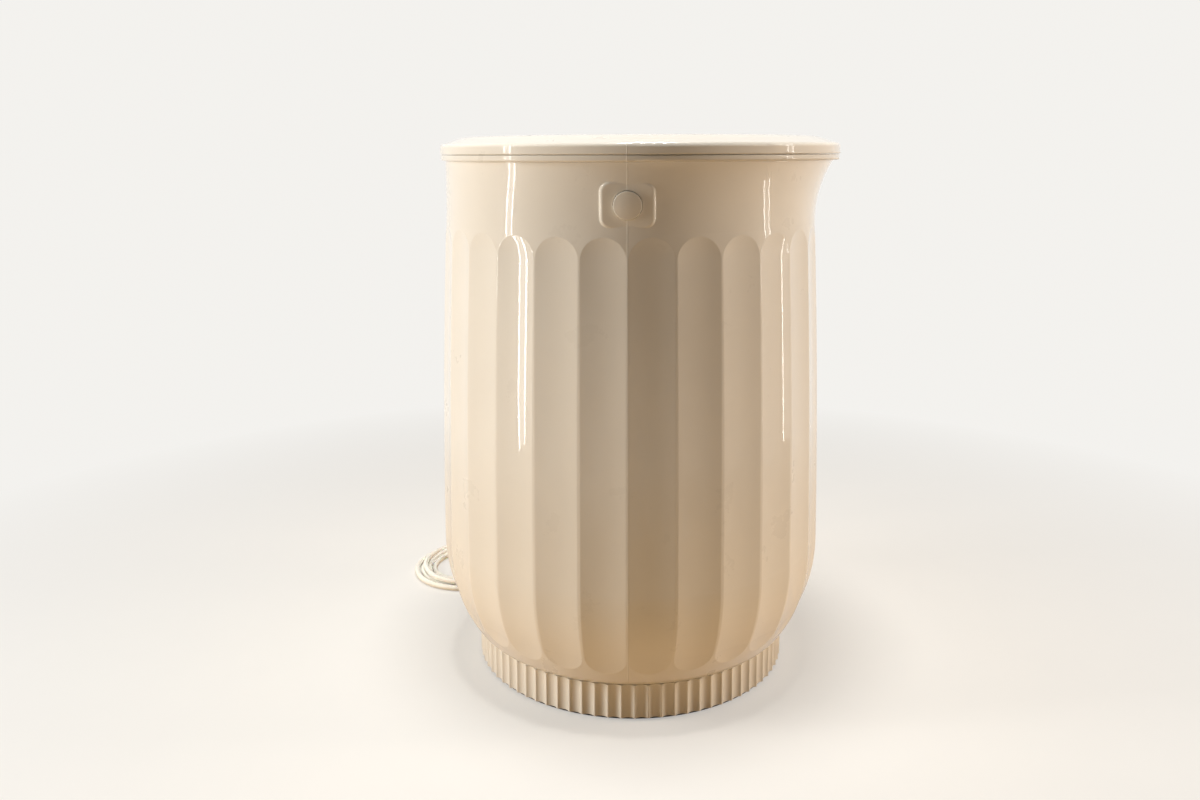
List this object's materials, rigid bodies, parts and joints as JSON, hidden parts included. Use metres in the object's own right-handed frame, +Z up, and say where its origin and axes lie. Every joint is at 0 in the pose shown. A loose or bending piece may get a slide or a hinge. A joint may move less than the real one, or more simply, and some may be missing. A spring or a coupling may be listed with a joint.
{
  "type": "towel warmer bucket",
  "caption": "Fluted round towel warmer bucket with a flared rim, a lift-off lid, a push button in a raised pad, a ribbed base ring and a coiled mains lead.",
  "frame": {"origin": "on the surface that the bucket stands on, on the axis of its round body and base ring", "axes": "+Z up along the bucket's axis; -Y towards the front, where the button is; +X towards the side where the rim and lid reach further out"},
  "size_m": [0.3792, 0.3658, 0.4238],
  "materials": {
    "shell_gloss": "glossy white moulding, faintly warm",
    "base_satin": "satin white moulding",
    "button_gloss": "glossy white moulding",
    "foot_rubber": "black rubber",
    "liner_aluminium": "drawn aluminium, brushed round",
    "heater_film": "amber heating film",
    "felt": "needled felt",
    "steel": "plain steel",
    "inner_plastic": "natural moulding",
    "board_green": "green solder mask",
    "black_plastic": "black moulding",
    "silicone": "pale silicone rubber",
    "wire_sheath": "white sheath",
    "cord_white": "glossy white vinyl",
    "tie_white": "white twist tie",
    "blade_brass": "bright nickel-plated brass"
  },
  "bodies": {
    "bucket": {"outer_shell": "shell_gloss", "rim_collar": "shell_gloss", "base_ring": "base_satin", "foot_ring": "foot_rubber", "base_cover": "base_satin", "liner": "liner_aluminium", "heater_film": "heater_film", "insulation_sleeve": "felt", "floor_insulation": "felt", "thermostat": "steel", "thermal_fuse": "steel", "button_holder": "inner_plastic", "control_board": "board_green", "tact_switch": "black_plastic", "return_pad": "silicone", "power_board": "board_green", "relay": "black_plastic", "transformer": "black_plastic", "terminal_block": "inner_plastic", "capacitor": "black_plastic", "harness": "wire_sheath", "cord_grip": "cord_white", "power_cord": "cord_white", "plug_tail": "cord_white", "cord_coil": "cord_white", "cord_tie": "tie_white", "plug_body": "cord_white", "plug_blades": "blade_brass"},
    "lid": {"lid_shell": "shell_gloss", "lid_pan": "liner_aluminium", "lid_gasket": "silicone", "lid_felt": "felt"},
    "button": {"button_cap": "button_gloss"}
  },
  "joints": [
    {"name": "lid_lift", "type": "slide", "parent": "bucket", "child": "lid", "axis": [0, 0, 1], "range_m": [0, 0.2]},
    {"name": "button_press", "type": "slide", "parent": "bucket", "child": "button", "axis": [0, 0.9954, 0.0953], "range_m": [0, 0.001], "stiffness_N_per_m": 800, "springref_m": -0.001}
  ]
}
